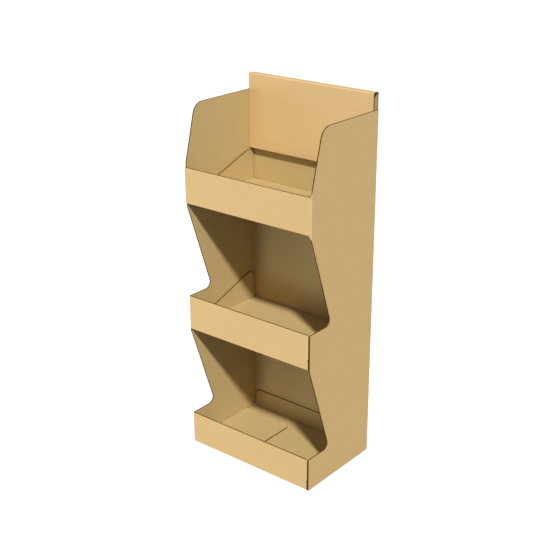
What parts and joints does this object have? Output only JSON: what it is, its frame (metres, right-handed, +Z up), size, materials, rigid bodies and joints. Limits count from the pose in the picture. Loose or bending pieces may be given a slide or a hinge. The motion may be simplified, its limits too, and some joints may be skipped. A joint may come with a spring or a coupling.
{
  "type": "cardboard display stand",
  "caption": "Free-standing corrugated cardboard display stand with tiered open shelves, front lips, slanted cut-away sides and a folded header at the back.",
  "frame": {"origin": "on the floor, below the middle of the stand's footprint", "axes": "+Z up, -Y towards the open front, +X to the right as seen from the front"},
  "size_m": [0.6, 0.4, 1.4845],
  "materials": {
    "body_board": "plain brown kraft liner, matt, with dark cut edges",
    "shelf_board": "plain brown kraft liner, matt, with dark cut edges"
  },
  "bodies": {
    "root": {"body": "body_board", "middle_shelf": "shelf_board", "top_shelf": "shelf_board"}
  },
  "joints": []
}
